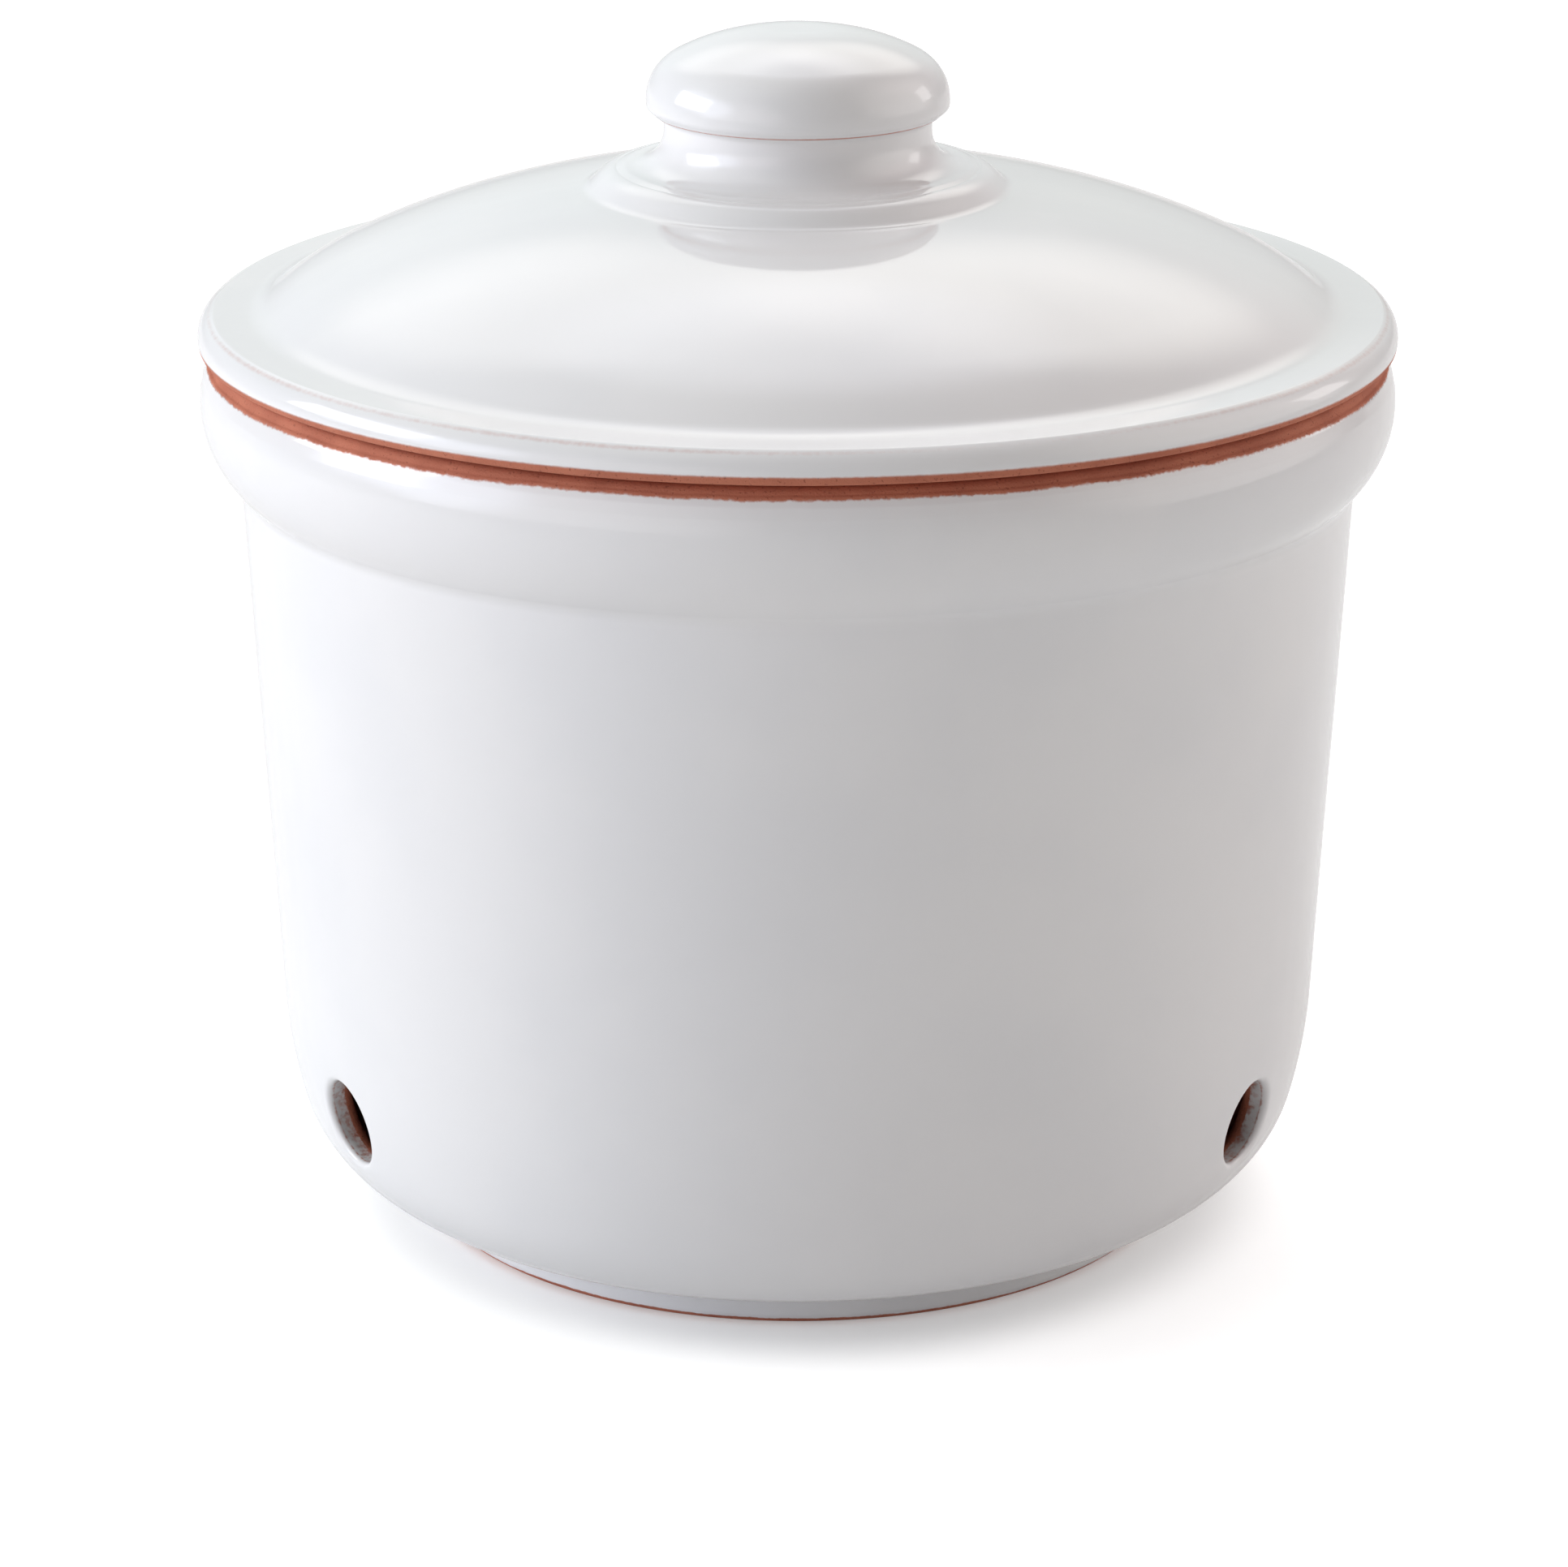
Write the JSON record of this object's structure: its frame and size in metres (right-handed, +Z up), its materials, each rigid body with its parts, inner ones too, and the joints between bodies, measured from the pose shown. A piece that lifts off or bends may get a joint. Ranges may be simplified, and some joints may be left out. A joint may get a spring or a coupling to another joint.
{
  "type": "onion keeper",
  "caption": "Round glazed earthenware keeper for onions: tapered pot on a foot ring with air vents low in the wall, and a loose domed lid with a luted knob.",
  "frame": {"origin": "middle of the foot, in the plane where the foot ring stands on the table", "axes": "+Z up, along the axis the pot is turned on; the front, with a vent to each side of it, faces -Y"},
  "size_m": [0.24, 0.24, 0.2443],
  "materials": {
    "pot_glazed_clay": "white gloss glaze over red clay, bare on the rim and under the foot",
    "lid_glazed_clay": "white gloss glaze over red clay, bare on the lower edge and the seat",
    "knob_glazed_clay": "white gloss glaze over red clay, thin on the sharp edge under the head"
  },
  "bodies": {
    "pot": {"pot": "pot_glazed_clay"},
    "lid": {"lid": "lid_glazed_clay", "lid_knob": "knob_glazed_clay"}
  },
  "joints": [
    {"name": "lid_lift", "type": "slide", "parent": "pot", "child": "lid", "axis": [0, 0, 1], "range_m": [0, 0.15]}
  ]
}
